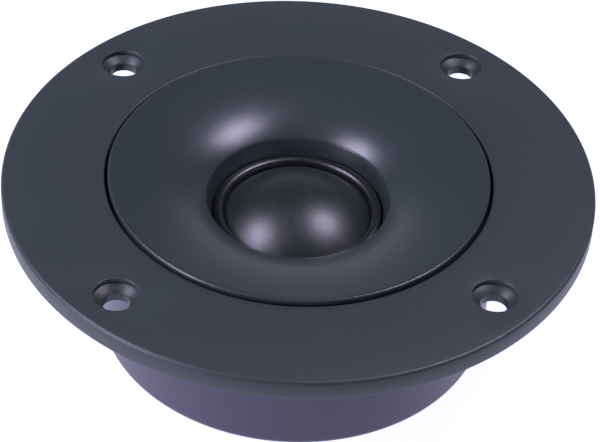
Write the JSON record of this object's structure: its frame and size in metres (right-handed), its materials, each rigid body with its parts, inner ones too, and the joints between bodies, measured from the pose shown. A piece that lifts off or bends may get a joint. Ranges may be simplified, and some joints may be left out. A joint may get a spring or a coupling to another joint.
{
  "type": "car tweeter",
  "caption": "Soft-dome car tweeter: round screw-down faceplate, shallow dished flare, fabric dome on a sprung voice coil, ferrite motor in a tapered rear cup, blade terminals.",
  "frame": {"origin": "centre of the faceplate's seating plane, on the axis of the mounting screw circle", "axes": "+Z out of the front along the axis of symmetry; the terminals are on the +Y side"},
  "size_m": [0.1, 0.1, 0.0314],
  "materials": {
    "moulded_faceplate": "fine matt moulded grain",
    "moulded_flare": "fine matt moulded grain, slightly smoother on the lip",
    "gasket_foam": "closed-cell foam",
    "dome_fabric": "coated woven fabric",
    "surround_fabric": "coated fabric, smooth",
    "former_foil": "rolled foil",
    "coil_wire": "enamelled copper wire",
    "carrier_plastic": "moulded",
    "tinned_brass": "tin plated",
    "rivet_metal": "drawn",
    "plated_steel": "zinc plated, turned",
    "ferrite": "ground sintered ferrite",
    "cap_copper": "drawn copper",
    "wool_felt": "pressed felt",
    "open_foam": "open-cell foam",
    "screw_steel": "zinc plated",
    "cup_plastic": "satin moulded, blue-violet grey",
    "board_laminate": "pressed paper laminate",
    "lead_red": "insulation",
    "lead_black": "insulation"
  },
  "bodies": {
    "frame": {"faceplate": "moulded_faceplate", "flare": "moulded_flare", "panel_gasket": "gasket_foam", "throat_gasket": "gasket_foam", "surround": "surround_fabric", "coil_tail_positive": "coil_wire", "coil_tail_negative": "coil_wire", "surround_carrier": "carrier_plastic", "solder_tag_positive": "tinned_brass", "solder_tag_negative": "tinned_brass", "tag_rivets": "rivet_metal", "top_plate": "plated_steel", "magnet_ring": "ferrite", "back_plate": "plated_steel", "pole_piece": "plated_steel", "copper_cap": "cap_copper", "dome_felt": "wool_felt", "vent_wadding": "open_foam", "motor_screws": "screw_steel", "rear_cup": "cup_plastic", "chamber_foam": "open_foam", "cup_screws": "screw_steel", "terminal_board": "board_laminate", "board_rivets": "rivet_metal", "terminal_positive": "tinned_brass", "terminal_negative": "tinned_brass", "terminal_rivets": "rivet_metal", "lead_positive": "lead_red", "lead_negative": "lead_black"},
    "diaphragm": {"dome": "dome_fabric", "voice_coil_former": "former_foil", "voice_coil_winding": "coil_wire"}
  },
  "joints": [
    {"name": "dome_travel", "type": "slide", "parent": "frame", "child": "diaphragm", "axis": [0, 0, 1], "range_m": [-0.0005, 0.0005], "stiffness_N_per_m": 200, "deforming": ["surround", "coil_tail_positive", "coil_tail_negative"]}
  ]
}
